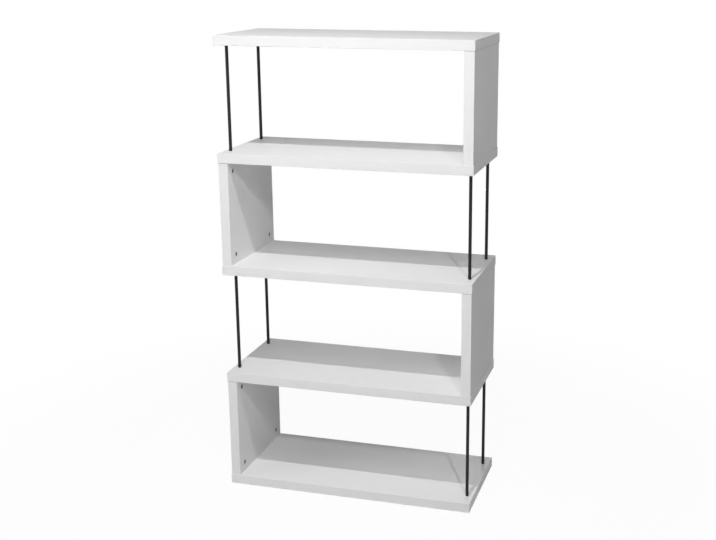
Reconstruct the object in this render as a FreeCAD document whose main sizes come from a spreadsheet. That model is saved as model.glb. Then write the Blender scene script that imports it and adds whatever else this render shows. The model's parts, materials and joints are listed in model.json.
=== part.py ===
# Zigzag bookshelf: five level boards, four end panels that change sides from tier to tier, and
# a pair of steel rods on the open side of every tier. Cam locks, cam bolts and dowels hold the
# panels, and the rods stand in insert nuts. Millimetres, +Z up, the front towards -Y. The
# origin lies on the floor under the middle of the base board.
import FreeCAD, Part
import os
import re

import Sketcher

SIZES = {
    # Boards and panels
    "shelf_width": 800,
    "shelf_depth": 350,
    "board_thickness": 30,
    "panel_thickness": 30,
    "clear_height": 325,
    "panel_setback": 1.5,
    "edge_round": 1,
    # Rods, their turned spigots and the nuts that they stand in
    "rod_diameter": 10,
    "rod_side_inset": 20,
    "rod_edge_inset": 55,
    "rod_end_chamfer": 0.4,
    "spigot_diameter": 6,
    "spigot_length": 12,
    "spigot_tip_chamfer": 0.8,
    "spigot_clearance": 0.05,
    "spigot_end_gap": 0.5,
    "nut_diameter": 9,
    "nut_clearance": 0.05,
    "nut_margin": 1.5,
    "nut_chamfer": 0.6,
    # Cam locks
    "cam_diameter": 15,
    "cam_clearance": 0.05,
    "cam_recess": 0.8,
    "cam_floor": 0.8,
    "cam_floor_gap": 0.2,
    "cam_end_distance": 30,
    "cam_edge_inset": 40,
    "cam_eccentricity": 0.6,
    "cam_entry_clearance": 0.3,
    "driver_slot_length": 8.4,
    "driver_slot_width": 1.8,
    "driver_slot_depth": 4,
    # Cam bolts
    "bolt_head_diameter": 6.4,
    "bolt_head_rim": 1.6,
    "bolt_head_taper": 3.4,
    "bolt_head_clearance": 0.55,
    "bolt_neck_diameter": 3.8,
    "bolt_neck_clearance": 0.5,
    "bolt_shank_diameter": 7,
    "bolt_shank_clearance": 0.5,
    "bolt_shank_gap": 1.5,
    "bolt_thread_diameter": 6,
    "bolt_thread_length": 11,
    "bolt_thread_clearance": 0.05,
    "bolt_tip_chamfer": 1,
    "bolt_end_gap": 0.5,
    # Dowels
    "dowel_diameter": 8,
    "dowel_in_board": 12,
    "dowel_in_panel": 22,
    "dowel_clearance": 0.05,
    "dowel_end_gap": 1,
    "dowel_chamfer": 1,
    "dowel_edge_inset": 105,
}

# Places and sizes that several pieces share, as expressions on the sheet
TIER_PITCH = "(board_thickness + clear_height)"
PANEL_X = "(shelf_width / 2 - panel_setback - panel_thickness / 2)"
PANEL_DEPTH = "(shelf_depth - 2 * panel_setback)"
CAM_Y = "(shelf_depth / 2 - cam_edge_inset)"
CAM_HEIGHT = "(clear_height / 2 - cam_end_distance)"
DOWEL_Y = "(shelf_depth / 2 - dowel_edge_inset)"
ROD_X = "(shelf_width / 2 - rod_side_inset)"
ROD_Y = "(shelf_depth / 2 - rod_edge_inset)"
NUT_LENGTH = "(spigot_length + nut_margin)"
HEAD_SPACE = "(bolt_head_diameter / 2 + bolt_head_clearance)"
NECK_SPACE = "(bolt_neck_diameter / 2 + bolt_neck_clearance)"
POCKET_EDGE = "hypot(bolt_head_taper; bolt_head_diameter / 2)"
CAM_DEPTH = f"(panel_thickness / 2 + {HEAD_SPACE} + cam_floor)"
SHANK_START = "(cam_diameter / 2 + bolt_shank_gap)"
SPIGOT_HOLE_RADIUS = "(spigot_diameter / 2 + spigot_clearance)"

LEFT, RIGHT, NO_PANEL = -1, 1, 0
EDGES = {"front": -1, "back": 1}
ENDS = {"top": 1, "bottom": -1}
# From the floor up
BOARDS = ["base_board", "lower_shelf", "middle_shelf", "upper_shelf", "top_board"]
TIERS = [("lower", LEFT), ("lower", RIGHT), ("upper", LEFT), ("upper", RIGHT)]
SIDE_WORDS = {LEFT: "left", RIGHT: "right"}

# A point that lies this close to a sketch's axis is held on it
ON_AXIS = 1e-9

doc = FreeCAD.newDocument("zigzag_bookshelf")
sheet = doc.addObject("Spreadsheet::Sheet", "Sizes")
for row, (alias, number) in enumerate(SIZES.items(), start=1):
    sheet.set(f"A{row}", str(number))
    sheet.setAlias(f"A{row}", alias)
doc.recompute()
sub_parts = []


def bound(expression):
    """The expression with the sheet's name before each size."""
    def with_sheet(word):
        return f"Sizes.{word[0]}" if word[0] in SIZES else word[0]
    return re.sub(r"[a-z_]+", with_sheet, expression)


def value(expression):
    """What an expression on the sheet comes to now, in millimetres."""
    return float(sheet.evalExpression(bound(expression)))


def new_body(name, x, y, z, rotation=FreeCAD.Rotation()):
    """A sub-part, placed by expressions on the sheet."""
    body = doc.addObject("PartDesign::Body", name)
    body.Label = name
    body.Placement = FreeCAD.Placement(FreeCAD.Vector(), rotation)
    for axis, expression in zip("xyz", (x, y, z)):
        body.setExpression(f"Placement.Base.{axis}", bound(expression))
    sub_parts.append(body)
    return body


def origin_plane(body, role):
    return next(plane for plane in body.Origin.OriginFeatures if plane.Role == role)


def new_sketch(body, name, role, offset="0"):
    """A sketch parallel to one of its body's origin planes."""
    sketch = body.newObject("Sketcher::SketchObject", name)
    sketch.AttachmentSupport = [(origin_plane(body, role), "")]
    sketch.MapMode = "FlatFace"
    sketch.setExpression("AttachmentOffset.Base.z", bound(offset))
    return sketch


def tie(sketch, constraint, expression):
    """Adds a dimension that follows the sheet."""
    index = sketch.addConstraint(constraint)
    sketch.setExpression(f"Constraints[{index}]", bound(expression))


def fix_point(sketch, geometry, corner, across, up):
    """Ties one point of a sketch to its distances from the sketch's origin."""
    origin, origin_point = -1, 1
    for kind, expression, axis in (("DistanceX", across, -2), ("DistanceY", up, -1)):
        distance = value(expression)
        if abs(distance) < ON_AXIS:
            sketch.addConstraint(Sketcher.Constraint("PointOnObject", geometry, corner, axis))
        elif distance > 0:
            dimension = Sketcher.Constraint(kind, origin, origin_point, geometry, corner, distance)
            tie(sketch, dimension, expression)
        else:
            dimension = Sketcher.Constraint(kind, geometry, corner, origin, origin_point, -distance)
            tie(sketch, dimension, f"-({expression})")


def add_circle(sketch, across, up, radius):
    centre = FreeCAD.Vector(value(across), value(up), 0)
    shape = Part.Circle(centre, FreeCAD.Vector(0, 0, 1), value(radius))
    circle = sketch.addGeometry(shape, False)
    fix_point(sketch, circle, 3, across, up)
    tie(sketch, Sketcher.Constraint("Radius", circle, value(radius)), radius)


def add_line(sketch, start, end, construction=False):
    ends = [FreeCAD.Vector(value(across), value(up), 0) for across, up in (start, end)]
    return sketch.addGeometry(Part.LineSegment(*ends), construction)


def add_outline(sketch, corners):
    """A closed outline of straight lines through corners that follow the sheet."""
    lines = [add_line(sketch, *pair) for pair in zip(corners, corners[1:] + corners[:1])]
    for line, following in zip(lines, lines[1:] + lines[:1]):
        sketch.addConstraint(Sketcher.Constraint("Coincident", line, 2, following, 1))
    for line, corner in zip(lines, corners):
        fix_point(sketch, line, 1, *corner)


def rectangle(left, right, low, high):
    return [(left, low), (right, low), (right, high), (left, high)]


def pad(body, name, sketch, length, downwards=False):
    feature = body.newObject("PartDesign::Pad", name)
    feature.Profile = sketch
    feature.Reversed = downwards
    feature.setExpression("Length", bound(length))
    return feature


def pocket(body, name, sketch, depth, along_normal=False):
    """Cuts from the sketch against its plane's normal, or along it."""
    feature = body.newObject("PartDesign::Pocket", name)
    feature.Profile = sketch
    feature.Reversed = along_normal
    feature.setExpression("Length", bound(depth))
    return feature


def drill(body, name, role, offset, holes, depth, along_normal=False):
    """Blind round holes of one depth, given as distances across and up and a radius."""
    sketch = new_sketch(body, f"{name}_plan", role, offset)
    for hole in holes:
        add_circle(sketch, *hole)
    pocket(body, name, sketch, depth, along_normal)


def round_edges(body, base, is_rounded):
    """Rounds the base feature's edges that the test picks, as the edge band is rounded."""
    doc.recompute()
    names = [f"Edge{place}" for place, edge in enumerate(base.Shape.Edges, start=1) if is_rounded(edge)]
    fillet = body.newObject("PartDesign::Fillet", "band_rounding")
    fillet.Base = (base, names)
    fillet.setExpression("Radius", bound("edge_round"))


def turned(body, sketch, profile, axis_across="0"):
    """Turns a profile of radii and heights about an upright axis that stands off the origin."""
    corners = [(f"{axis_across} + {radius}", height) for radius, height in profile]
    add_outline(sketch, corners)
    low, high = profile[0][1], profile[-1][1]
    axis = add_line(sketch, (axis_across, low), (axis_across, high), construction=True)
    fix_point(sketch, axis, 1, axis_across, low)
    fix_point(sketch, axis, 2, axis_across, high)
    feature = body.newObject("PartDesign::Revolution", "turning")
    feature.Profile = sketch
    feature.ReferenceAxis = (sketch, ["Axis0"])
    feature.Angle = 360


def mirrored(body, name, role):
    """Repeats all of the body, worked out first, on the other side of an origin plane."""
    doc.recompute()
    feature = body.newObject("PartDesign::Mirrored", name)
    feature.TransformMode = "Whole shape"
    feature.MirrorPlane = (origin_plane(body, role), [""])
    body.Tip = feature


def on_both_edges(side, x, y, radius):
    """A front and a back hole on one side of a board."""
    return [(f"{side} * {x}", f"{edge} * {y}", radius) for edge in EDGES.values()]


def board(name, level, panel_above, panel_below):
    """A level board, drilled for the panels and rods that meet it."""
    body = new_body(name, "0", "0", f"{level} * {TIER_PITCH}")
    plan = new_sketch(body, "board_plan", "XY_Plane")
    add_outline(plan, rectangle("-shelf_width / 2", "shelf_width / 2", "-shelf_depth / 2", "shelf_depth / 2"))
    blank = pad(body, "board_blank", plan, "board_thickness")
    round_edges(body, blank, lambda edge: True)
    bolt_radius = "bolt_thread_diameter / 2 + bolt_thread_clearance"
    dowel_radius = "dowel_diameter / 2 + dowel_clearance"
    for panel, offset, upwards in ((panel_above, "board_thickness", False), (panel_below, "0", True)):
        if panel == NO_PANEL:
            continue
        face = "under" if upwards else "top"
        bolt_holes = on_both_edges(panel, PANEL_X, CAM_Y, bolt_radius)
        dowel_holes = on_both_edges(panel, PANEL_X, DOWEL_Y, dowel_radius)
        drill(body, f"{face}_bolt_holes", "XY_Plane", offset, bolt_holes,
              "bolt_thread_length + bolt_end_gap", upwards)
        drill(body, f"{face}_dowel_holes", "XY_Plane", offset, dowel_holes,
              "dowel_in_board + dowel_end_gap", upwards)
        if upwards:
            sockets = on_both_edges(-panel, ROD_X, ROD_Y, SPIGOT_HOLE_RADIUS)
            drill(body, "rod_sockets", "XY_Plane", offset, sockets, "spigot_length + spigot_end_gap", True)
        else:
            nut_holes = on_both_edges(-panel, ROD_X, ROD_Y, "nut_diameter / 2 + nut_clearance")
            drill(body, "nut_holes", "XY_Plane", offset, nut_holes, NUT_LENGTH)


def tier_floor(tier):
    """Height of the board's top that a tier stands on."""
    return f"({tier} * {TIER_PITCH} + board_thickness)"


def tier_middle(tier):
    return f"({tier_floor(tier)} + clear_height / 2)"


def is_upright(edge):
    box = edge.BoundBox
    return box.ZLength > max(box.XLength, box.YLength)


def panel(name, tier, side):
    """An end panel, with cam holes in its inner face and bolt and dowel holes in its ends."""
    turn = FreeCAD.Rotation(FreeCAD.Vector(0, 0, 1), 180 if side == RIGHT else 0)
    body = new_body(name, f"{side} * {PANEL_X}", "0", tier_middle(tier), turn)
    plan = new_sketch(body, "panel_plan", "XY_Plane", "-clear_height / 2")
    add_outline(plan, rectangle("-panel_thickness / 2", "panel_thickness / 2",
                                f"-{PANEL_DEPTH} / 2", f"{PANEL_DEPTH} / 2"))
    blank = pad(body, "panel_blank", plan, "clear_height")
    round_edges(body, blank, is_upright)
    cam_holes = [
        (f"{edge} * {CAM_Y}", f"{end} * {CAM_HEIGHT}", "cam_diameter / 2")
        for edge in EDGES.values()
        for end in ENDS.values()
    ]
    drill(body, "cam_holes", "YZ_Plane", "panel_thickness / 2", cam_holes, f"{CAM_DEPTH} + cam_floor_gap")
    shank_radius = "bolt_shank_diameter / 2 + bolt_shank_clearance"
    dowel_radius = "dowel_diameter / 2 + dowel_clearance"
    for end, up in ENDS.items():
        offset = f"{up} * clear_height / 2"
        upwards = end == "bottom"
        drill(body, f"{end}_bolt_holes", "XY_Plane", offset,
              on_both_edges(0, "1", CAM_Y, shank_radius), "cam_end_distance", upwards)
        drill(body, f"{end}_dowel_holes", "XY_Plane", offset,
              on_both_edges(0, "1", DOWEL_Y, dowel_radius), "dowel_in_panel + dowel_end_gap", upwards)


def cam_lock(name, tier, side, end, edge):
    """A cam in a panel's inner face. Its own Z points out of the face and its Y to the panel's end."""
    inwards = FreeCAD.Vector(-side, 0, 0)
    to_end = FreeCAD.Vector(0, 0, end)
    turn = FreeCAD.Rotation(to_end.cross(inwards), to_end, inwards, "ZYX")
    body = new_body(name, f"{side} * ({PANEL_X} - panel_thickness / 2)", f"{edge} * {CAM_Y}",
                    f"{tier_middle(tier)} + {end} * {CAM_HEIGHT}", turn)
    disc = new_sketch(body, "disc", "XY_Plane", "-cam_recess")
    add_circle(disc, "0", "0", "cam_diameter / 2 - cam_clearance")
    pad(body, "cam_blank", disc, f"{CAM_DEPTH} - cam_recess", downwards=True)
    # The bolt's head lies in an eccentric pocket, and its neck leaves through a half-turn slot
    head = new_sketch(body, "head_plan", "XY_Plane", f"{HEAD_SPACE} - panel_thickness / 2")
    add_circle(head, "0", "-cam_eccentricity", f"{POCKET_EDGE} + cam_eccentricity")
    pocket(body, "head_pocket", head, f"2 * {HEAD_SPACE}")
    neck = new_sketch(body, "neck_plan", "XY_Plane", f"{NECK_SPACE} - panel_thickness / 2")
    add_outline(neck, rectangle(f"-{NECK_SPACE}", "cam_diameter", "-cam_diameter", "cam_diameter"))
    pocket(body, "neck_slot", neck, f"2 * {NECK_SPACE}")
    entry = new_sketch(body, "entry_plan", "XZ_Plane")
    add_circle(entry, "0", "-panel_thickness / 2", "bolt_head_diameter / 2 + cam_entry_clearance")
    pocket(body, "head_entry", entry, "cam_diameter", along_normal=True)
    cross = new_sketch(body, "driver_plan", "XY_Plane", "-cam_recess")
    long, short = "driver_slot_length / 2", "driver_slot_width / 2"
    quarter = [(long, short), (short, short), (short, long)]
    half = quarter + [(f"-{across}", up) for across, up in reversed(quarter)]
    add_outline(cross, half + [(across, f"-{up}") for across, up in reversed(half)])
    pocket(body, "driver_cross", cross, "driver_slot_depth")


def cam_bolts(name, tier, side):
    """The four bolts of a panel, screwed into the boards, with their heads in the cams."""
    body = new_body(name, f"{side} * {PANEL_X}", "0", tier_middle(tier))
    neck, head = "bolt_neck_diameter / 2", "bolt_head_diameter / 2"
    shank, thread = "bolt_shank_diameter / 2", "bolt_thread_diameter / 2"
    tip = "cam_end_distance + bolt_thread_length"
    profile = [
        ("0", "-bolt_head_taper"),
        (neck, "-bolt_head_taper"),
        (head, "-bolt_head_rim / 2"),
        (head, "bolt_head_rim / 2"),
        (neck, "bolt_head_taper"),
        (neck, SHANK_START),
        (shank, SHANK_START),
        (shank, "cam_end_distance"),
        (thread, "cam_end_distance"),
        (thread, f"{tip} - bolt_tip_chamfer"),
        (f"{thread} - bolt_tip_chamfer", tip),
        ("0", tip),
    ]
    raised = [(radius, f"{CAM_HEIGHT} + {height}") for radius, height in profile]
    turned(body, new_sketch(body, "bolt_profile", "YZ_Plane"), raised, CAM_Y)
    mirrored(body, "front_and_back", "XZ_Plane")
    mirrored(body, "top_and_bottom", "XY_Plane")


def dowels(name, tier, side):
    """The four dowels between a panel's ends and the boards."""
    body = new_body(name, f"{side} * {PANEL_X}", "0", tier_middle(tier))
    radius, slim = "dowel_diameter / 2", "(dowel_diameter / 2 - dowel_chamfer)"
    low, high = "clear_height / 2 - dowel_in_panel", "clear_height / 2 + dowel_in_board"
    profile = [
        ("0", low),
        (slim, low),
        (radius, f"{low} + dowel_chamfer"),
        (radius, f"{high} - dowel_chamfer"),
        (slim, high),
        ("0", high),
    ]
    turned(body, new_sketch(body, "dowel_profile", "YZ_Plane"), profile, DOWEL_Y)
    mirrored(body, "front_and_back", "XZ_Plane")
    mirrored(body, "top_and_bottom", "XY_Plane")


def rod(name, tier, side, edge):
    """A rod between two boards, with a threaded spigot below and a plain one above."""
    body = new_body(name, f"{side} * {ROD_X}", f"{edge} * {ROD_Y}", tier_floor(tier))
    radius, shoulder = "rod_diameter / 2", "rod_diameter / 2 - rod_end_chamfer"
    spigot, tip = "spigot_diameter / 2", "spigot_diameter / 2 - spigot_tip_chamfer"
    top = "clear_height + spigot_length"
    profile = [
        ("0", "-spigot_length"),
        (tip, "-spigot_length"),
        (spigot, "-spigot_length + spigot_tip_chamfer"),
        (spigot, "0"),
        (shoulder, "0"),
        (radius, "rod_end_chamfer"),
        (radius, "clear_height - rod_end_chamfer"),
        (shoulder, "clear_height"),
        (spigot, "clear_height"),
        (spigot, f"{top} - spigot_tip_chamfer"),
        (tip, top),
        ("0", top),
    ]
    turned(body, new_sketch(body, "rod_profile", "XZ_Plane"), profile)


def rod_nuts(name, tier, side):
    """The insert nuts of a front and a back rod, flush with the board that the rods stand on."""
    body = new_body(name, f"{side} * {ROD_X}", "0", tier_floor(tier))
    outside = "nut_diameter / 2"
    profile = [
        (SPIGOT_HOLE_RADIUS, f"-{NUT_LENGTH}"),
        (f"{outside} - nut_chamfer", f"-{NUT_LENGTH}"),
        (outside, f"-{NUT_LENGTH} + nut_chamfer"),
        (outside, "0"),
        (SPIGOT_HOLE_RADIUS, "0"),
    ]
    turned(body, new_sketch(body, "nut_profile", "YZ_Plane"), profile, ROD_Y)
    mirrored(body, "front_and_back", "XZ_Plane")


def build_shelf():
    panel_sides = [side for half, side in TIERS]
    above = panel_sides + [NO_PANEL]
    below = [NO_PANEL] + panel_sides
    for level, name in enumerate(BOARDS):
        board(name, level, above[level], below[level])
    for tier, (half, side) in enumerate(TIERS):
        panel_name = f"{half}_{SIDE_WORDS[side]}"
        rod_name = f"{half}_{SIDE_WORDS[-side]}_rod"
        panel(f"{panel_name}_panel", tier, side)
        for end_word, end in ENDS.items():
            for edge_word, edge in EDGES.items():
                cam_lock(f"{panel_name}_cam_{end_word}_{edge_word}", tier, side, end, edge)
        cam_bolts(f"{panel_name}_cam_bolts", tier, side)
        dowels(f"{panel_name}_dowels", tier, side)
        for edge_word, edge in EDGES.items():
            rod(f"{rod_name}_{edge_word}", tier, -side, edge)
        rod_nuts(f"{rod_name}_nuts", tier, -side)
    doc.recompute()


def check_shelf():
    """Stops where a feature failed, a pocket cut nothing or a sub-part isn't sound."""
    for thing in doc.Objects:
        if {"Invalid", "Error"} & set(thing.State):
            raise RuntimeError(f"{thing.Label} failed: {thing.State}")
        if thing.TypeId == "PartDesign::Pocket" and thing.Shape.Volume >= thing.BaseFeature.Shape.Volume:
            raise RuntimeError(f"{thing.Label} cuts nothing")
    for body in sub_parts:
        if body.Shape.isNull() or not body.Shape.isValid():
            raise RuntimeError(f"{body.Label} has no sound shape")


def write_parts():
    os.makedirs("parts", exist_ok=True)
    for body in sub_parts:
        body.Shape.exportStep(f"parts/{body.Label}.step")
    solids = sum(len(body.Shape.Solids) for body in sub_parts)
    print(f"{len(sub_parts)} sub-parts, {solids} solids")


build_shelf()
check_shelf()
write_parts()
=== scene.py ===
"""Finishes, small fittings, studio light and camera for a zigzag bookshelf."""

import json
import math

import bpy
from bpy.props import FloatProperty, FloatVectorProperty, IntProperty, PointerProperty
from mathutils import Euler, Matrix, Vector


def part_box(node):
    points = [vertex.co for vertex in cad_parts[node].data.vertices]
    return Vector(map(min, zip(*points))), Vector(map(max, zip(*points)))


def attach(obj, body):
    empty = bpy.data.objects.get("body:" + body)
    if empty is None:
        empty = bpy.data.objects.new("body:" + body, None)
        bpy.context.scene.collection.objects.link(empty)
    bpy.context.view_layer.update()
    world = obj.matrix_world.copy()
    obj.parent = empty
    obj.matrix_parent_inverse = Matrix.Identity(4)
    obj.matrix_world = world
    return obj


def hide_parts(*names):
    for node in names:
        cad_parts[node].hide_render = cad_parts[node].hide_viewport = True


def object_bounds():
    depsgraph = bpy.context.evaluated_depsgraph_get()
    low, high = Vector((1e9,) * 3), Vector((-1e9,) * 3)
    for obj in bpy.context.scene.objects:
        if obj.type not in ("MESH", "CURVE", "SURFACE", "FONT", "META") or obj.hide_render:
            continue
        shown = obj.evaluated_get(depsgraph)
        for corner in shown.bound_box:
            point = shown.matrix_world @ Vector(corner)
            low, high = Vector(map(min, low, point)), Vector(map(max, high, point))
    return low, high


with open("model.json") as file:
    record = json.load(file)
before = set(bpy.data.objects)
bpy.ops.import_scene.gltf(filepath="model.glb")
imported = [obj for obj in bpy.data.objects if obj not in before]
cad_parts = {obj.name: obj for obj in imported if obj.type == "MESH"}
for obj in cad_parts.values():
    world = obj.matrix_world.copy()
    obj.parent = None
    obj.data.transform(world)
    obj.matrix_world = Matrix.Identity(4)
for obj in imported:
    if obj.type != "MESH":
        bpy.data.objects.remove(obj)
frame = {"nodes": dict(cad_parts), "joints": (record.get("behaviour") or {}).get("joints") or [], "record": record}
CAD_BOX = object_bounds()

bl_info = {
    "name": "Zigzag Bookshelf Finish",
    "version": (1, 0, 0),
    "blender": (4, 5, 0),
    "location": "View3D > Sidebar > Bookshelf",
    "description": "Gives a zigzag bookshelf its finishes, small fittings, light and camera",
    "category": "Object",
}

ROOT_BODY = "frame"
MM = 0.001
X_AXIS, Y_AXIS = 0, 1

# What the frame says about the shelf
RECORD = frame["record"]
COLOURS = {row["slot"]: tuple(row["base_color"]) for row in RECORD["materials"]}
CAM_AXES = {joint["child"]: joint for joint in frame["joints"]}
PANEL_WORDS = ("lower_left", "lower_right", "upper_left", "upper_right")
BOARD_LOW, BOARD_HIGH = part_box("base_board")
PANEL_LOW, PANEL_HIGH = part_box("lower_right_panel")
TIER_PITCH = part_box("lower_shelf")[0].z - BOARD_LOW.z
CLEAR_HEIGHT = PANEL_HIGH.z - PANEL_LOW.z

# The photograph's frame and the camera's place in it, in pixels
PHOTO_WIDTH, PHOTO_HEIGHT = 716, 540
FOCAL_PIXELS = 1125
AXIS_PIXEL = (416.3, 248.5)
SENSOR_MM = 36

# The stage
LAMPS = ("key", "second", "third", "front_box", "left_box", "right_box", "back_box", "low_lamp")
GROUND_REACH = 30

# Finishes: where a mark is at its full, as a share of its width or depth
CORE_SHOWS = 1.1
SEAM_FULL = 0.4
JOINT_SHADE_FULL = 0.6

# Finishes: how strong a mark is, and how deep the fine pearl is as a share of the grain
STREAK_STRENGTH = 0.5
SEAM_STRENGTH = 0.5
PORE_STRENGTH = 0.5
PEARL_SHARE = 0.4

# Finishes: how far the grain is drawn out, and over what length the coat ends at a spigot
LONG_GRAIN = 0.04
SPIGOT_FADE = 0.1 * MM

# Finishes: roughness and reflection
GLOSS_SPREAD = 0.05
ARRIS_ROUGHENING = 0.05
CHIPBOARD_ROUGHNESS = 0.9
SPIGOT_ROUGHNESS = 0.3
FOIL_REFLECTION = 0.08
COAT_REFLECTION = 0.2

# Fittings: how fine their meshes are, and the cast marks' shares of their height and radius
SHARP_ANGLE = math.radians(32)
MERGE_DISTANCE = 0.002 * MM
BOLT_SIDES, DOWEL_SIDES, NUT_SIDES, RIM_SIDES = 20, 80, 96, 64
THREAD_RINGS = 40
MARK_SLOPE = 0.5
MARK_SUNK = 0.3
ARROW_TAPER = 0.75

# Fittings: the inputs that place a set of copies
FLOAT, VECTOR, MATERIAL = "NodeSocketFloat", "NodeSocketVector", "NodeSocketMaterial"
PLACING = {"Middle": VECTOR, "Half Depth": FLOAT, "Half Height": FLOAT, "Material": MATERIAL}


def nodes_with(slot):
    """The frame's nodes that have one of the record's material slots."""
    return [row["node"] for row in RECORD["subparts"] if row["material_slot"] == slot]


# Short forms of the properties in the groups below
def length(name, description, millimetres):
    return FloatProperty(
        name=name, description=description, default=millimetres * MM, min=0, unit="LENGTH", precision=5,
    )


def colour(name, description, default):
    return FloatVectorProperty(
        name=name, description=description, default=default, size=3, min=0, max=1, subtype="COLOR",
    )


def share(name, description, default):
    return FloatProperty(name=name, description=description, default=default, min=0, max=1, subtype="FACTOR")


def place(name, description, default):
    return FloatVectorProperty(
        name=name, description=description, default=default, size=3, subtype="TRANSLATION", unit="LENGTH",
    )


def power(name, description, watts):
    return FloatProperty(name=name, description=description, default=watts, min=0, unit="POWER")


class MelamineFinish(bpy.types.PropertyGroup):
    """White foil on chipboard, with banded edges."""

    foil: colour("Foil", "Colour of the white foil", COLOURS["white_melamine"])
    core: colour("Core", "Colour of the chipboard where a hole cuts through the foil", (0.42, 0.31, 0.2))
    seam: colour("Seam", "Colour of the glue line between foil and edge band", (0.5, 0.5, 0.49))
    foil_depth: length("Foil depth", "How deep a hole goes before chipboard shows", 0.45)
    band: length("Edge band", "Thickness of the plastic band on the edges", 1)
    seam_width: length("Seam width", "Width of the glue line", 0.16)
    # Painted shade and an open joint: the dark line at a panel's top end, under the board it carries
    joint: colour("Joint", "Colour of the hairline under the board that a panel carries", (0.25, 0.25, 0.25))
    joint_shade_width: length("Joint width", "Width of that hairline", 1)
    grain: length("Grain depth", "Depth of the foil's embossed grain", 0.03)
    gloss: share("Roughness", "Roughness of the foil", 0.46)
    wear: share("Edge wear", "How much the arrises are rubbed", 0.06)
    arris_rubbed: length("Arris rubbed", "How far from an edge the rubbing is at its full", 0.2)
    arris_clear: length("Arris clear", "How far from an edge the rubbing ends", 1.4)


class RodFinish(bpy.types.PropertyGroup):
    """Black powder coat on the rods and bare plated spigots."""

    coat: colour("Coat", "Colour of the powder coat", COLOURS["black_rod"])
    spigot: colour("Spigot", "Colour of the bare plated ends", COLOURS["steel_bolt"])
    peel: length("Orange peel", "Depth of the coat's fine ripple", 0.02)
    gloss: share("Roughness", "Roughness of the coat", 0.42)


class FittingSizes(bpy.types.PropertyGroup):
    """Hidden fittings, in the sizes that furniture makers use."""

    cam_radius: length("Cam radius", "Radius of a cam lock's face", 7.45)
    cam_recess: length("Cam recess", "How far a cam's face lies under the panel's face", 0.8)
    mark_height: length("Mark height", "How far the cast rim and arrow stand proud of a cam", 0.3)
    arrow_radius: length("Arrow radius", "Radius of the arrow's three corners", 1.15)
    arrow_reach: length("Arrow reach", "Distance of the arrow from the cam's axis", 5.4)
    rim_width: length("Rim width", "Width of the cast rim round a cam's face", 0.55)
    head_radius: length("Bolt head radius", "Radius of a cam bolt's ball head", 3.2)
    head_rim: length("Bolt head rim", "Height of the head's straight rim", 1.6)
    head_taper: length("Bolt head taper", "Half height of the head", 3.4)
    neck_radius: length("Bolt neck radius", "Radius of the bolt's neck", 1.9)
    shank_start: length("Bolt shank start", "From the cam's axis to the shank", 9)
    shank_radius: length("Bolt shank radius", "Radius of the bolt's shank", 3.5)
    cam_to_end: length("Cam to panel end", "From a cam's axis to the end of the panel", 30)
    thread_radius: length("Bolt thread radius", "Radius over the thread's crests", 3)
    thread_length: length("Bolt thread length", "Length of the thread in the board", 11)
    thread_depth: length("Bolt thread depth", "Depth of the thread's groove", 0.6)
    thread_pitch: length("Bolt thread pitch", "Rise of the thread in one turn", 2)
    tip_chamfer: length("Bolt tip chamfer", "Chamfer of the bolt's tip", 1)
    dowel_radius: length("Dowel radius", "Radius over the dowel's ridges", 4)
    dowel_in_panel: length("Dowel in panel", "Length of a dowel in the panel", 22)
    dowel_in_board: length("Dowel in board", "Length of a dowel in the board", 12)
    dowel_chamfer: length("Dowel chamfer", "Chamfer of a dowel's ends", 1)
    flute_depth: length("Flute depth", "Depth of the dowel's glue flutes", 0.3)
    flutes: IntProperty(name="Flutes", description="Glue flutes round a dowel", default=20, min=3)
    nut_radius: length("Nut radius", "Radius over the insert nut's ribs", 4.5)
    nut_bore: length("Nut bore", "Radius of the insert nut's bore", 3.05)
    nut_length: length("Nut length", "Length of an insert nut", 13.5)
    nut_chamfer: length("Nut chamfer", "Chamfer of the nut's lower end", 0.6)
    rib_depth: length("Rib depth", "Depth of the grooves between the nut's ribs", 0.3)
    ribs: IntProperty(name="Ribs", description="Ribs round an insert nut", default=24, min=3)


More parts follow.
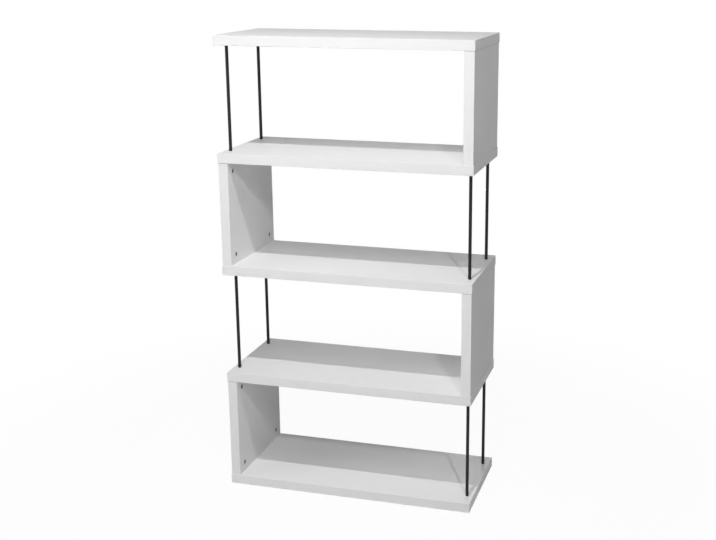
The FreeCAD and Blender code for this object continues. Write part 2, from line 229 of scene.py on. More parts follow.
class StageSettings(bpy.types.PropertyGroup):
    """Studio light, white ground and the photograph's camera."""

    key_place: place("Key place", "Where the key lamp hangs", (0.22, -1.25, 3.0))
    key_aim: place("Key aim", "The spot on the floor that the key lamp points at", (-1.7, -2.3, 0.0))
    key_power: power("Key power", "Power of the key lamp", 46)
    key_width: length("Key width", "Width of the key lamp", 80)
    second_place: place("Second place", "Where the second lamp hangs", (0.8, -2.0, 3.35))
    second_power: power("Second power", "Power of the second lamp", 5)
    second_width: length("Second width", "Width of the second lamp", 120)
    third_place: place("Third place", "Where the third lamp hangs", (1.5, -2.45, 2.65))
    third_power: power("Third power", "Power of the third lamp", 23)
    third_width: length("Third width", "Width of the third lamp", 120)
    front_box_place: place("Front box place", "Where the front soft box hangs", (0.5, -3.6, 2.8))
    front_box_aim: place("Front box aim", "The spot that the front soft box points at", (-1.5, 0, -0.6))
    front_box_power: power("Front box power", "Power of the front soft box", 39)
    front_box_width: length("Front box width", "Width of the front soft box", 1200)
    left_box_place: place("Left box place", "Where the left soft box stands", (-3.2, -1.6, 1.8))
    left_box_power: power("Left box power", "Power of the left soft box", 32)
    left_box_width: length("Left box width", "Width of the left soft box", 2000)
    right_box_place: place("Right box place", "Where the right soft box stands", (3.4, 0.6, 2.2))
    right_box_power: power("Right box power", "Power of the right soft box", 9)
    right_box_width: length("Right box width", "Width of the right soft box", 1600)
    back_box_place: place("Back box place", "Where the back soft box stands", (0.4, 3.5, 1.1))
    back_box_power: power("Back box power", "Power of the back soft box", 7)
    back_box_width: length("Back box width", "Width of the back soft box", 1500)
    low_lamp_place: place("Low lamp place", "Where the low lamp behind the shelf stands", (-0.5, 3.6, 0.16))
    low_lamp_power: power("Low lamp power", "Power of the low lamp behind the shelf", 60)
    low_lamp_width: length("Low lamp width", "Width of the low lamp behind the shelf", 300)
    ambient: share("Ambient", "Strength of the room's even light", 0.02)
    floor_colour: colour("Floor", "Colour of the pale floor", (0.68, 0.68, 0.68))
    floor_white: share("Floor white", "How near to plain white the floor looks round the shelf", 0.96)
    floor_near: length("Floor near", "How far from the shelf's middle the floor keeps its shadow", 900)
    floor_far: length("Floor far", "How far from the shelf's middle the floor is plain white", 1900)
    camera_place: place("Camera place", "Where the camera stands", (1.081, -3.286, 1.676))
    camera_turn: FloatVectorProperty(
        name="Camera turn", description="The camera's turn about X, Y and Z", size=3, subtype="EULER",
        default=(math.radians(75.45), 0, math.radians(15.31)),
    )


class Wire:
    """One socket of a node tree, so that a tree's sums read as plain Python."""

    def __init__(self, tree, socket=None):
        self.tree = tree
        self.socket = socket

    def node(self, kind, settings=None, sockets=None, output=0):
        """Adds any node: its settings first, then the values or links of its sockets.

        A list holds the wires of a socket that takes several.
        """
        node = self.tree.nodes.new(kind)
        for name, setting in (settings or {}).items():
            setattr(node, name, setting)
        for name, entry in (sockets or {}).items():
            socket = find_socket(node.inputs, name)
            if isinstance(entry, Wire):
                self.tree.links.new(entry.socket, socket)
            elif isinstance(entry, list):
                for wire in entry:
                    self.tree.links.new(wire.socket, socket)
            else:
                socket.default_value = entry
        return Wire(self.tree, find_socket(node.outputs, output) if node.outputs else None)

    def math(self, operation, *values):
        return self.node("ShaderNodeMath", {"operation": operation}, dict(enumerate(values)))

    def __add__(self, other):
        return self.math("ADD", self, other)

    def __radd__(self, other):
        return self.math("ADD", other, self)

    def __sub__(self, other):
        return self.math("SUBTRACT", self, other)

    def __rsub__(self, other):
        return self.math("SUBTRACT", other, self)

    def __mul__(self, other):
        return self.math("MULTIPLY", self, other)

    def __rmul__(self, other):
        return self.math("MULTIPLY", other, self)

    def __truediv__(self, other):
        return self.math("DIVIDE", self, other)

    def __rtruediv__(self, other):
        return self.math("DIVIDE", other, self)

    def __mod__(self, other):
        return self.math("FLOORED_MODULO", self, other)

    def __abs__(self):
        return self.math("ABSOLUTE", self)

    def least(self, other):
        return self.math("MINIMUM", self, other)

    def most(self, other):
        return self.math("MAXIMUM", self, other)

    def rise(self, low, high, kind="SMOOTHSTEP"):
        """Goes from 0 to 1 as this wire goes from low to high."""
        return self.node(
            "ShaderNodeMapRange",
            {"interpolation_type": kind, "clamp": True},
            {"Value": self, "From Min": low, "From Max": high},
        )

    def between(self, low, high):
        """Goes from the number low to the number high as this wire goes from 0 to 1."""
        return low + self * (high - low)

    def mix(self, low, high):
        """Goes from the colour low to the colour high as this wire goes from 0 to 1."""
        sockets = {"Factor": self, "A": with_alpha(low), "B": with_alpha(high)}
        return self.node("ShaderNodeMix", {"data_type": "RGBA"}, sockets, "Result")

    def shades(self, base, dark, light):
        """Goes from a dark to a light share of one colour as this wire goes from 0 to 1."""
        return self.mix(tint(base, dark), tint(base, light))

    def vector(self, x=0, y=0, z=0):
        """A vector from its three parts."""
        return self.node("ShaderNodeCombineXYZ", sockets={"X": x, "Y": y, "Z": z})

    def parts(self):
        """The X, Y and Z of a vector."""
        split = self.node("ShaderNodeSeparateXYZ", sockets={0: self}).socket.node
        return [Wire(self.tree, socket) for socket in split.outputs]


def find_socket(sockets, name):
    """A socket by its number, or by its name among those that the node's settings leave in use."""
    if isinstance(name, int):
        return sockets[name]
    return next(socket for socket in sockets if socket.enabled and socket.name == name)


def with_alpha(entry):
    """A plain colour as a colour socket takes it."""
    return entry if isinstance(entry, Wire) else (*entry, 1)


def tint(base, factor):
    """A colour made darker or lighter."""
    return [min(1, factor * part) for part in base]


def new_finish(name):
    """A bare material, and the wire that its nodes start from."""
    material = bpy.data.materials.new(name)
    material.use_nodes = True
    material.node_tree.nodes.clear()
    return material, Wire(material.node_tree)


def close_finish(start, sockets):
    """Ends a material in one surface shader."""
    shader = start.node("ShaderNodeBsdfPrincipled", sockets=sockets)
    start.node("ShaderNodeOutputMaterial", sockets={"Surface": shader})


def noise(at, lumps, detail=2, stretch=(1, 1, 1)):
    """Fixed noise from 0 to 1 with so many lumps to the metre. A small stretch draws it out along an axis."""
    spread = at.node("ShaderNodeMapping", {"vector_type": "POINT"}, {"Vector": at, "Scale": stretch})
    return at.node("ShaderNodeTexNoise", sockets={"Vector": spread, "Scale": lumps, "Detail": detail})


def bump(start, height, depth, below=None):
    """A normal from a height of 0 to 1 that stands for so much depth, on top of the one below if any."""
    sockets = {"Height": height, "Distance": depth, "Strength": 1}
    if below:
        sockets["Normal"] = below
    return start.node("ShaderNodeBump", sockets=sockets)


def tier_height(height, middle):
    """Height above the nearest tier's middle, the same in every tier."""
    return (height - (middle - TIER_PITCH / 2)) % TIER_PITCH - TIER_PITCH / 2


def depths_under_faces(at, low, high):
    """How far a point lies under a piece's faces along X, Y and Z.

    It holds for all pieces of a kind at once, on both sides and in every tier.
    """
    middle, half = (low + high) / 2, (high - low) / 2
    across, along, up = at.parts()
    return (
        half.x - abs(abs(across) - middle.x),
        half.y - abs(along),
        half.z - abs(tier_height(up, middle.z)),
    )


def melamine(name, low, high, finish, grain_stretch, banded, carries):
    """White foil, glue line, edge band and rubbed arris, and chipboard where a hole is cut.

    The axes in banded have edge bands. A piece that carries a board gets a dark line at its top end,
    under the board: an open joint's gap and painted shade from the board's overhang.
    """
    material, start = new_finish(name)
    at = start.node("ShaderNodeTexCoord", output="Object")
    depths = depths_under_faces(at, low, high)
    one, two, three = depths
    shallowest = one.least(two).least(three)
    middling = one.least(two).most(one.most(two).least(three))
    core = shallowest.rise(finish.foil_depth, finish.foil_depth * CORE_SHOWS)
    arris = 1 - middling.rise(finish.arris_rubbed, finish.arris_clear)
    glue_lines = [abs(depths[axis] - finish.band) for axis in banded]
    nearest = glue_lines[0].least(glue_lines[-1])
    seam = 1 - nearest.rise(finish.seam_width * SEAM_FULL, finish.seam_width)

    cloud = noise(at, lumps=3, detail=3)
    streaks = noise(at, lumps=260, detail=3, stretch=grain_stretch)
    pearl = noise(at, lumps=1500)
    rubs = noise(at, lumps=45, detail=4)
    smears = noise(at, lumps=7, detail=4)
    chips = noise(at, lumps=420, detail=3)

    tone = cloud.shades(finish.foil, dark=0.985, light=1.01)
    grain = streaks.rise(low=0.35, high=0.75) * STREAK_STRENGTH
    grained = grain.mix(tone, tint(finish.foil, factor=0.965))
    worn = (arris * rubs.rise(low=0.45, high=0.7) * finish.wear).mix(grained, finish.seam)
    joined = (seam * SEAM_STRENGTH).mix(worn, finish.seam)
    base = core.mix(joined, chips.shades(finish.core, dark=0.55, light=1.35))

    # Painted shade: a dark line at the panel's top end, under the board above, for an open joint and the board's
    # overhang
    if carries:
        to_board = (high.z - low.z) / 2 - tier_height(at.parts()[2], (low.z + high.z) / 2)
        joint_and_shade_line = 1 - to_board.rise(finish.joint_shade_width * JOINT_SHADE_FULL, finish.joint_shade_width)
        base = joint_and_shade_line.mix(base, finish.joint)

    foil = smears.between(finish.gloss - GLOSS_SPREAD, finish.gloss + GLOSS_SPREAD) + arris * ARRIS_ROUGHENING
    embossed = bump(start, streaks, finish.grain)
    close_finish(start, {
        "Base Color": base,
        "Roughness": core.between(foil, CHIPBOARD_ROUGHNESS),
        "Normal": bump(start, pearl, finish.grain * PEARL_SHARE, embossed),
        "Specular IOR Level": FOIL_REFLECTION,
    })
    return material


def powder_coat(finish):
    """Satin black coat with a fine ripple, and plated steel on the spigots inside the boards."""
    material, start = new_finish("black_powder_coat")
    at = start.node("ShaderNodeTexCoord", output="Object")
    up = at.parts()[2]
    middle = (PANEL_LOW.z + PANEL_HIGH.z) / 2
    inside = abs(tier_height(up, middle)).rise(CLEAR_HEIGHT / 2, CLEAR_HEIGHT / 2 + SPIGOT_FADE)
    ripple = noise(at, lumps=1300)
    speckle = noise(at, lumps=420, detail=3)
    cloud = noise(at, lumps=14)
    coat = cloud.between(finish.gloss - GLOSS_SPREAD, finish.gloss + GLOSS_SPREAD)
    close_finish(start, {
        "Base Color": inside.mix(speckle.shades(finish.coat, dark=0.6, light=1.2), finish.spigot),
        "Metallic": inside,
        "Roughness": inside.between(coat, SPIGOT_ROUGHNESS),
        "Normal": bump(start, ripple, finish.peel),
        "Specular IOR Level": COAT_REFLECTION,
    })
    return material


def cast_zinc():
    """Dull die-cast zinc with a grainy skin, held darker than its own colour as painted shade of its recess."""
    material, start = new_finish("cast_zinc")
    at = start.node("ShaderNodeTexCoord", output="Object")
    skin = noise(at, lumps=2200, detail=3)
    stain_and_shade = noise(at, lumps=260, detail=3)
    close_finish(start, {
        # Painted shade: the colour runs from 0.4 to 0.8 of the zinc's own, for the shade in the cam's recess, in
        # random patches
        "Base Color": stain_and_shade.shades(COLOURS["zinc_cam"], dark=0.4, light=0.8),
        "Metallic": 1,
        "Roughness": stain_and_shade.between(low=0.5, high=0.7),
        "Normal": bump(start, skin, depth=0.03 * MM),
    })
    return material


def plated_metal(name, base):
    """Turned metal with fine tool lines round its axis and a slightly patchy plating."""
    material, start = new_finish(name)
    at = start.node("ShaderNodeTexCoord", output="Object")
    patches = noise(at, lumps=300, detail=3)
    lines = noise(at, lumps=400, stretch=(1, 1, 12))
    close_finish(start, {
        "Base Color": patches.shades(base, dark=0.85, light=1.1),
        "Metallic": 1,
        "Roughness": patches.between(low=0.22, high=0.38),
        "Normal": bump(start, lines, depth=0.01 * MM),
    })
    return material


def beech():
    """Raw beech with long pores along the dowel."""
    material, start = new_finish("raw_beech")
    at = start.node("ShaderNodeTexCoord", output="Object")
    pores = noise(at, lumps=900, detail=3, stretch=(1, 1, 0.06))
    rings = noise(at, lumps=240, stretch=(1, 1, 0.04))
    wood = COLOURS["beech_dowel"]
    open_pores = pores.rise(low=0.55, high=0.75) * PORE_STRENGTH
    close_finish(start, {
        "Base Color": open_pores.mix(rings.shades(wood, dark=0.88, light=1.12), tint(wood, factor=0.55)),
        "Roughness": pores.between(low=0.66, high=0.78),
        "Normal": bump(start, pores, depth=0.04 * MM),
    })
    return material


def dress(nodes, material):
    """Puts one material on whole nodes of the frame."""
    for name in nodes:
        node = frame["nodes"][name]
        for slot in node.material_slots:
            slot.material = material


def new_tree(name, inputs):
    """An empty geometry tree: the wire that its nodes start from, and a wire for each named input."""
    tree = bpy.data.node_groups.new(name, "GeometryNodeTree")
    tree.interface.new_socket(name="Geometry", in_out="OUTPUT", socket_type="NodeSocketGeometry")
    for word, kind in inputs.items():
        tree.interface.new_socket(name=word, in_out="INPUT", socket_type=kind)
    entry = tree.nodes.new("NodeGroupInput")
    return Wire(tree), {word: Wire(tree, entry.outputs[word]) for word in inputs}


def close_tree(start, geometry, material):
    """Ends a tree in plain geometry, smooth but for its sharp edges, with one material."""
    angle = start.node("GeometryNodeInputMeshEdgeAngle", output="Unsigned Angle")
    sharp = start.node(
        "FunctionNodeCompare", {"operation": "GREATER_THAN"},
        {"A": angle, "B": SHARP_ANGLE},
    )
    plain = start.node("GeometryNodeRealizeInstances", sockets={"Geometry": geometry})
    smooth = start.node(
        "GeometryNodeSetShadeSmooth", {"domain": "FACE"},
        {"Geometry": plain, "Shade Smooth": True},
    )
    edged = start.node(
        "GeometryNodeSetShadeSmooth", {"domain": "EDGE"},
        {"Geometry": smooth, "Selection": sharp, "Shade Smooth": False},
    )
    painted = start.node("GeometryNodeSetMaterial", sockets={"Geometry": edged, "Material": material})
    start.node("NodeGroupOutput", sockets={"Geometry": painted})


def turned(start, stations, sides, groove=None):
    """A closed surface turned about Z through stations of radius, height and the rings that lead to each.

    The groove, if any, takes the turn in whole circles and the height, and gives the depth that is cut there.
    """
    rings = sum(station[2] for station in stations)
    tube = start.node(
        "GeometryNodeMeshCylinder", {"fill_type": "NONE"},
        {"Vertices": sides, "Side Segments": rings, "Radius": 1, "Depth": rings},
    )
    across, along, up = start.node("GeometryNodeInputPosition").parts()
    ring = up + rings / 2
    radius, height, done = stations[0]
    for before, (next_radius, next_height, count) in zip(stations, stations[1:]):
        passed = ring.rise(done, done + count, "LINEAR")
        radius = radius + passed * (next_radius - before[0])
        height = height + passed * (next_height - before[1])
        done += count
    if groove:
        turn = start.math("ARCTAN2", along, across) / math.tau
        radius = radius - groove(turn, height)
    spot = start.vector(across * radius, along * radius, height)
    shaped = start.node("GeometryNodeSetPosition", sockets={"Geometry": tube, "Position": spot})
    return start.node("GeometryNodeMergeByDistance", sockets={"Geometry": shaped, "Distance": MERGE_DISTANCE})


def wave(phase):
    """Goes from 1 to 0 and back to 1 as the phase goes from one whole number to the next."""
    return abs(phase % 1 - 0.5) * 2


def repeated(start, shape, inputs, rows):
    """Puts copies at the front and the back, in one row, or in two with the lower one upside down."""
    index = start.node("GeometryNodeInputIndex")
    edge = index % 2 * 2 - 1
    end = 1 if rows == 1 else start.math("FLOOR", index / 2) * 2 - 1
    across, along, up = inputs["Middle"].parts()
    spot = start.vector(across, along + edge * inputs["Half Depth"], up + end * inputs["Half Height"])
    points = start.node("GeometryNodePoints", sockets={"Count": 2 * rows, "Position": spot})
    tilt = 0 if rows == 1 else (1 - end) * (math.pi / 2)
    facing = start.node("FunctionNodeEulerToRotation", sockets={"Euler": start.vector(x=tilt)})
    return start.node(
        "GeometryNodeInstanceOnPoints",
        sockets={"Points": points, "Instance": shape, "Rotation": facing},
    )


def bolt_tree():
    """Cam bolts: ball head, neck, shank and a coarse thread."""
    words = (
        "Head Radius", "Head Rim", "Head Taper", "Neck Radius", "Shank Start", "Shank Radius", "Panel End",
        "Thread Radius", "Thread Length", "Thread Depth", "Thread Pitch", "Tip Chamfer",
    )
    start, size = new_tree("threaded_bolts", {**{word: FLOAT for word in words}, **PLACING})
    tip = size["Panel End"] + size["Thread Length"]
    taper = size["Head Taper"]
    run_out = size["Thread Pitch"] * 0.5

    def thread(turn, height):
        cut = height - size["Panel End"]
        inside = cut.rise(0, run_out) * (tip - height).rise(0, run_out)
        return wave(cut / size["Thread Pitch"] - turn) * inside * size["Thread Depth"]

    stations = [
        (0, 0 - taper, 0),
        (size["Neck Radius"], 0 - taper, 1),
        (size["Head Radius"], size["Head Rim"] * -0.5, 2),
        (size["Head Radius"], size["Head Rim"] * 0.5, 1),
        (size["Neck Radius"], taper, 2),
        (size["Neck Radius"], size["Shank Start"], 1),
        (size["Shank Radius"], size["Shank Start"], 1),
        (size["Shank Radius"], size["Panel End"], 1),
        (size["Thread Radius"], size["Panel End"], 1),
        (size["Thread Radius"], tip - size["Tip Chamfer"], THREAD_RINGS),
        (size["Thread Radius"] - size["Tip Chamfer"], tip, 4),
        (0, tip, 1),
    ]
    shape = turned(start, stations, BOLT_SIDES, thread)
    close_tree(start, repeated(start, shape, size, 2), size["Material"])
    return start.tree


def dowel_tree():
    """Dowels with straight glue flutes and chamfered ends."""
    words = ("Radius", "In Panel", "In Board", "Chamfer", "Flute Depth", "Flutes")
    start, size = new_tree("fluted_dowels", {**{word: FLOAT for word in words}, **PLACING})
    low = 0 - size["In Panel"]
    high = size["In Board"]
    slim = size["Radius"] - size["Chamfer"]

    def flute(turn, height):
        clear = (height - low).least(high - height).rise(0, size["Chamfer"])
        return wave(turn * size["Flutes"]) * clear * size["Flute Depth"]

    stations = [
        (0, low, 0),
        (slim, low, 1),
        (size["Radius"], low + size["Chamfer"], 1),
        (size["Radius"], high - size["Chamfer"], 4),
        (slim, high, 1),
        (0, high, 1),
    ]
    shape = turned(start, stations, DOWEL_SIDES, flute)
    close_tree(start, repeated(start, shape, size, 2), size["Material"])
    return start.tree


def nut_tree():
    """Press-in nuts with straight ribs and a waist."""
    words = ("Radius", "Bore", "Length", "Chamfer", "Rib Depth", "Ribs")
    start, size = new_tree("ribbed_nuts", {**{word: FLOAT for word in words}, **PLACING})
    low = 0 - size["Length"]
    waist = size["Length"] * -0.5
    slim = size["Radius"] - size["Rib Depth"]
    half_chamfer = size["Chamfer"] * 0.5

    def rib(turn, height):
        clear = (height - low).rise(0, size["Chamfer"]) * (0 - height).rise(0, size["Chamfer"])
        outside = abs(height - waist).rise(half_chamfer, size["Chamfer"])
        return wave(turn * size["Ribs"]) * clear * outside * size["Rib Depth"]

    stations = [
        (size["Bore"], low, 0),
        (size["Radius"] - size["Chamfer"], low, 1),
        (size["Radius"], low + size["Chamfer"], 1),
        (size["Radius"], waist - size["Chamfer"], 2),
        (slim, waist - half_chamfer, 1),
        (slim, waist + half_chamfer, 1),
        (size["Radius"], waist + size["Chamfer"], 1),
        (size["Radius"], 0, 3),
        (size["Bore"], 0, 1),
        (size["Bore"], low, 1),
    ]
    shape = turned(start, stations, NUT_SIDES, rib)
    close_tree(start, repeated(start, shape, size, 1), size["Material"])
    return start.tree


def mark_tree():
    """The cast rim round a cam's face and the arrow that points to its entry."""
    words = ("Radius", "Rim Width", "Height", "Arrow Radius", "Arrow Reach")
    inputs = {**{word: FLOAT for word in words}, "Place": VECTOR, "Turn": VECTOR, "Material": MATERIAL}
    start, size = new_tree("cam_marks", inputs)
    inner = size["Radius"] - size["Rim Width"]
    slope = size["Height"] * MARK_SLOPE
    sunk = size["Height"] * -MARK_SUNK
    rim = turned(start, [
        (inner, sunk, 0),
        (size["Radius"], sunk, 1),
        (size["Radius"], slope, 1),
        (size["Radius"] - slope, size["Height"], 1),
        (inner + slope, size["Height"], 1),
        (inner, slope, 1),
        (inner, sunk, 1),
    ], RIM_SIDES)
    prism = start.node("GeometryNodeMeshCone", sockets={
        "Vertices": 3, "Side Segments": 1, "Radius Top": size["Arrow Radius"] * ARROW_TAPER,
        "Radius Bottom": size["Arrow Radius"], "Depth": size["Height"] - sunk,
    })
    spot = start.vector(x=size["Arrow Reach"], z=sunk)
    arrow = start.node("GeometryNodeTransform", sockets={"Geometry": prism, "Translation": spot})
    both = start.node("GeometryNodeJoinGeometry", sockets={"Geometry": [rim, arrow]})
    facing = start.node("FunctionNodeEulerToRotation", sockets={"Euler": size["Turn"]})
    placed = start.node("GeometryNodeTransform", sockets={
        "Geometry": both, "Translation": size["Place"], "Rotation": facing,
    })
    close_tree(start, placed, size["Material"])
    return start.tree


def grow(name, tree, inputs):
    """A plain mesh object from a geometry tree and values for its named inputs."""
    grown = bpy.data.objects.new(name, bpy.data.meshes.new(name))
    bpy.context.scene.collection.objects.link(grown)
    modifier = grown.modifiers.new("tree", "NODES")
    modifier.node_group = tree
    for socket in tree.interface.items_tree:
        if socket.in_out == "INPUT":
            modifier[socket.identifier] = inputs[socket.name]
    evaluated = grown.evaluated_get(bpy.context.evaluated_depsgraph_get())
    mesh = bpy.data.meshes.new_from_object(evaluated)
    grown.modifiers.remove(modifier)
    grown.data = mesh
    return grown


def stand_for(piece, node):
    """Lets a finished piece take the place of one of the frame's nodes."""
    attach(piece, ROOT_BODY)
    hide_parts(node)


class SHELF_OT_boards(bpy.types.Operator):
    """Puts the white foil on the boards and the end panels"""

    bl_idname = "shelf.boards"
    bl_label = "Boards and Panels"

    def execute(self, context):
        finish = context.scene.shelf_melamine
        white = nodes_with("white_melamine")
        panels = [f"{word}_panel" for word in PANEL_WORDS]
        boards = [name for name in white if name not in panels]
        dress(boards, melamine(
            "board_melamine", BOARD_LOW, BOARD_HIGH, finish,
            grain_stretch=(LONG_GRAIN, 1, 1), banded=(X_AXIS, Y_AXIS), carries=False,
        ))
        dress(panels, melamine(
            "panel_melamine", PANEL_LOW, PANEL_HIGH, finish,
            grain_stretch=(1, 1, LONG_GRAIN), banded=(Y_AXIS,), carries=True,
        ))
        return {"FINISHED"}


class SHELF_OT_rods(bpy.types.Operator):
    """Puts the black coat on the rods"""

    bl_idname = "shelf.rods"
    bl_label = "Rods"

    def execute(self, context):
        dress(nodes_with("black_rod"), powder_coat(context.scene.shelf_rods))
        return {"FINISHED"}


class SHELF_OT_cams(bpy.types.Operator):
    """Finishes the cam locks and adds the cast rim and arrow on each face"""

    bl_idname = "shelf.cams"
    bl_label = "Cam Locks"

    def execute(self, context):
        sizes = context.scene.shelf_fittings
        zinc = cast_zinc()
        cams = nodes_with("zinc_cam")
        dress(cams, zinc)
        tree = mark_tree()
        for cam in cams:
            outwards = Vector(CAM_AXES[cam]["axis"])
            to_middle = Vector((0, 0, -1 if "_top_" in cam else 1))
            facing = Matrix((to_middle, outwards.cross(to_middle), outwards)).transposed()
            mark = grow(f"{cam}_mark", tree, {
                "Radius": sizes.cam_radius, "Rim Width": sizes.rim_width, "Height": sizes.mark_height,
                "Arrow Radius": sizes.arrow_radius, "Arrow Reach": sizes.arrow_reach, "Material": zinc,
                "Place": Vector(CAM_AXES[cam]["pos_m"]) - outwards * sizes.cam_recess,
                "Turn": facing.to_euler(),
            })
            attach(mark, cam)
        return {"FINISHED"}


class SHELF_OT_cam_bolts(bpy.types.Operator):
    """Makes the threaded bolts that the cams pull on"""

    bl_idname = "shelf.cam_bolts"
    bl_label = "Cam Bolts"

    def execute(self, context):
        sizes = context.scene.shelf_fittings
        tree = bolt_tree()
        steel = plated_metal("plated_steel", COLOURS["steel_bolt"])
        for word in PANEL_WORDS:
            node = f"{word}_cam_bolts"
            low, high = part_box(node)
            middle = (low + high) / 2
            cam = Vector(CAM_AXES[f"{word}_cam_top_back"]["pos_m"])
            piece = grow(f"{word}_threaded_bolts", tree, {
                "Head Radius": sizes.head_radius, "Head Rim": sizes.head_rim, "Head Taper": sizes.head_taper,
                "Neck Radius": sizes.neck_radius, "Shank Start": sizes.shank_start,
                "Shank Radius": sizes.shank_radius, "Panel End": sizes.cam_to_end,
                "Thread Radius": sizes.thread_radius, "Thread Length": sizes.thread_length,
                "Thread Depth": sizes.thread_depth, "Thread Pitch": sizes.thread_pitch,
                "Tip Chamfer": sizes.tip_chamfer, "Middle": middle, "Half Depth": cam.y,
                "Half Height": cam.z - middle.z, "Material": steel,
            })
            stand_for(piece, node)
        return {"FINISHED"}


class SHELF_OT_dowels(bpy.types.Operator):
    """Makes the fluted dowels between panels and boards"""

    bl_idname = "shelf.dowels"
    bl_label = "Dowels"

    def execute(self, context):
        sizes = context.scene.shelf_fittings
        tree = dowel_tree()
        wood = beech()
        for word in PANEL_WORDS:
            node = f"{word}_dowels"
            low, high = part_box(node)
            middle = (low + high) / 2
            piece = grow(f"{word}_fluted_dowels", tree, {
                "Radius": sizes.dowel_radius, "In Panel": sizes.dowel_in_panel,
                "In Board": sizes.dowel_in_board, "Chamfer": sizes.dowel_chamfer,
                "Flute Depth": sizes.flute_depth, "Flutes": float(sizes.flutes),
                "Middle": middle, "Half Depth": high.y - sizes.dowel_radius,
                "Half Height": high.z - middle.z - sizes.dowel_in_board, "Material": wood,
            })
            stand_for(piece, node)
        return {"FINISHED"}


class SHELF_OT_rod_nuts(bpy.types.Operator):
    """Makes the ribbed insert nuts under the rods"""

    bl_idname = "shelf.rod_nuts"
    bl_label = "Insert Nuts"

    def execute(self, context):
        sizes = context.scene.shelf_fittings
        tree = nut_tree()
        brass = plated_metal("turned_brass", COLOURS["zinc_nut"])
        for node in nodes_with("zinc_nut"):
            low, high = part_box(node)
            middle = (low + high) / 2
            piece = grow(node.replace("_nuts", "_ribbed_nuts"), tree, {
                "Radius": sizes.nut_radius, "Bore": sizes.nut_bore, "Length": sizes.nut_length,
                "Chamfer": sizes.nut_chamfer, "Rib Depth": sizes.rib_depth, "Ribs": float(sizes.ribs),
                "Middle": middle, "Half Depth": high.y - sizes.nut_radius, "Half Height": high.z - middle.z,
                "Material": brass,
            })
            stand_for(piece, node)
        return {"FINISHED"}


def seen_directly(start):
    """1 for what the camera sees, straight, mirrored or through glass, and 0 for light on the shelf."""
    path = start.node("ShaderNodeLightPath").socket.node
    camera, glossy, through = (
        Wire(start.tree, path.outputs[name])
        for name in ("Is Camera Ray", "Is Glossy Ray", "Is Transmission Ray")
    )
    return camera.most(glossy).most(through)


def white_ground(settings):
    """A pale floor that looks nearly white where it is seen, so that the shelf's shadow on it is faint."""
    material, start = new_finish("white_ground")
    across, along, up = start.node("ShaderNodeTexCoord", output="Object").parts()
    away = start.math("SQRT", across * across + along * along)
    far = away.rise(settings.floor_near, settings.floor_far)
    whiteness = seen_directly(start) * far.between(settings.floor_white, 1)
    paper = start.node("ShaderNodeBsdfDiffuse", sockets={"Color": (*settings.floor_colour, 1)})
    white = start.node("ShaderNodeEmission", sockets={"Color": (1, 1, 1, 1), "Strength": 1})
    surface = start.node("ShaderNodeMixShader", sockets={0: whiteness, 1: paper, 2: white})
    start.node("ShaderNodeOutputMaterial", sockets={"Surface": surface})
    return material


def set_world(settings):
    """White where it is seen, and a weak even light on the shelf."""
    world = bpy.data.worlds.new("studio")
    world.use_nodes = True
    world.node_tree.nodes.clear()
    start = Wire(world.node_tree)
    strength = seen_directly(start).between(settings.ambient, 1)
    light = start.node("ShaderNodeBackground", sockets={"Color": (1, 1, 1, 1), "Strength": strength})
    start.node("ShaderNodeOutputWorld", sockets={"Surface": light})
    bpy.context.scene.world = world


def add_lamp(name, spot, target, watts, width):
    """A round lamp that looks at the target and isn't seen itself."""
    data = bpy.data.lights.new(name, "AREA")
    data.shape = "DISK"
    data.energy = watts
    data.size = width
    lamp = bpy.data.objects.new(name, data)
    lamp.location = spot
    lamp.rotation_euler = (Vector(target) - Vector(spot)).to_track_quat("-Z", "Y").to_euler()
    lamp.visible_camera = False
    bpy.context.scene.collection.objects.link(lamp)


def add_camera(settings):
    """The photograph's camera. The lens is shifted by the little that its framing needs."""
    data = bpy.data.cameras.new("photo_camera")
    data.sensor_width = SENSOR_MM
    data.lens = FOCAL_PIXELS / PHOTO_WIDTH * SENSOR_MM
    data.shift_x = (PHOTO_WIDTH / 2 - AXIS_PIXEL[0]) / PHOTO_WIDTH
    data.shift_y = (AXIS_PIXEL[1] - PHOTO_HEIGHT / 2) / PHOTO_WIDTH
    camera = bpy.data.objects.new("photo_camera", data)
    camera.location = settings.camera_place
    camera.rotation_euler = Euler(settings.camera_turn)
    bpy.context.scene.collection.objects.link(camera)
    bpy.context.scene.camera = camera


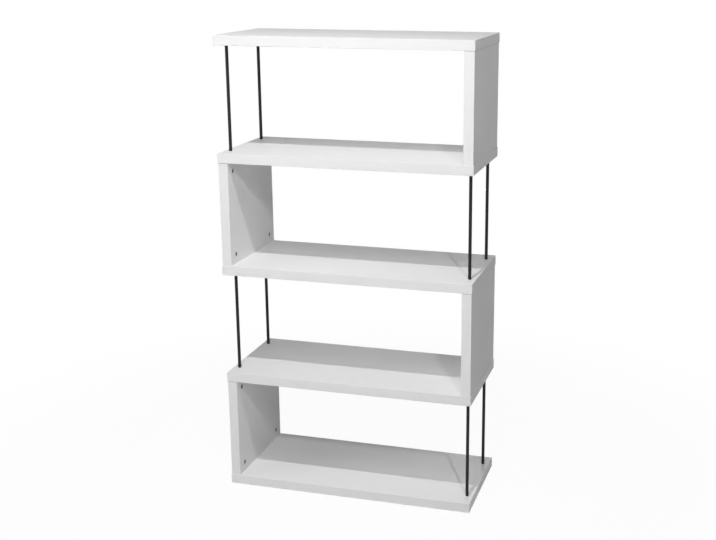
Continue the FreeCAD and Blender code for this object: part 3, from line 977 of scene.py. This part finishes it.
class SHELF_OT_stage(bpy.types.Operator):
    """Adds the white ground, the studio light and the camera"""

    bl_idname = "shelf.stage"
    bl_label = "Stage"

    def execute(self, context):
        settings = context.scene.shelf_stage
        mesh = bpy.data.meshes.new("ground")
        corners = [(x * GROUND_REACH, y * GROUND_REACH, 0) for x, y in ((-1, -1), (1, -1), (1, 1), (-1, 1))]
        mesh.from_pydata(corners, [], [(0, 1, 2, 3)])
        mesh.materials.append(white_ground(settings))
        ground = bpy.data.objects.new("ground", mesh)
        context.scene.collection.objects.link(ground)
        set_world(settings)
        middle = sum(CAD_BOX, Vector()) / 2
        for lamp in LAMPS:
            spot, watts, width = (getattr(settings, f"{lamp}_{word}") for word in ("place", "power", "width"))
            add_lamp(lamp, spot, getattr(settings, f"{lamp}_aim", middle), watts, width)
        add_camera(settings)
        context.scene.view_settings.view_transform = "Standard"
        return {"FINISHED"}


class SHELF_PT_sidebar(bpy.types.Panel):
    """Lists the shelf's steps and the sizes and colours that they use"""

    bl_idname = "SHELF_PT_sidebar"
    bl_label = "Zigzag Bookshelf"
    bl_space_type = "VIEW_3D"
    bl_region_type = "UI"
    bl_category = "Bookshelf"

    def draw(self, context):
        for step in STEPS:
            self.layout.operator(step.bl_idname)
        for pointer, group in GROUPS.items():
            settings = getattr(context.scene, pointer)
            box = self.layout.box()
            box.label(text=group.__doc__)
            for name in group.__annotations__:
                box.prop(settings, name)


GROUPS = {
    "shelf_melamine": MelamineFinish,
    "shelf_rods": RodFinish,
    "shelf_fittings": FittingSizes,
    "shelf_stage": StageSettings,
}
STEPS = (
    SHELF_OT_boards, SHELF_OT_rods, SHELF_OT_cams, SHELF_OT_cam_bolts, SHELF_OT_dowels, SHELF_OT_rod_nuts,
    SHELF_OT_stage,
)
CLASSES = (*GROUPS.values(), *STEPS, SHELF_PT_sidebar)


def register():
    for cls in CLASSES:
        bpy.utils.register_class(cls)
    for pointer, group in GROUPS.items():
        setattr(bpy.types.Scene, pointer, PointerProperty(type=group))


def unregister():
    for pointer in GROUPS:
        delattr(bpy.types.Scene, pointer)
    for cls in reversed(CLASSES):
        bpy.utils.unregister_class(cls)


def main():
    register()
    bpy.ops.shelf.boards()
    bpy.ops.shelf.rods()
    bpy.ops.shelf.cams()
    bpy.ops.shelf.cam_bolts()
    bpy.ops.shelf.dowels()
    bpy.ops.shelf.rod_nuts()
    bpy.ops.shelf.stage()


if __name__ == "__main__":
    main()
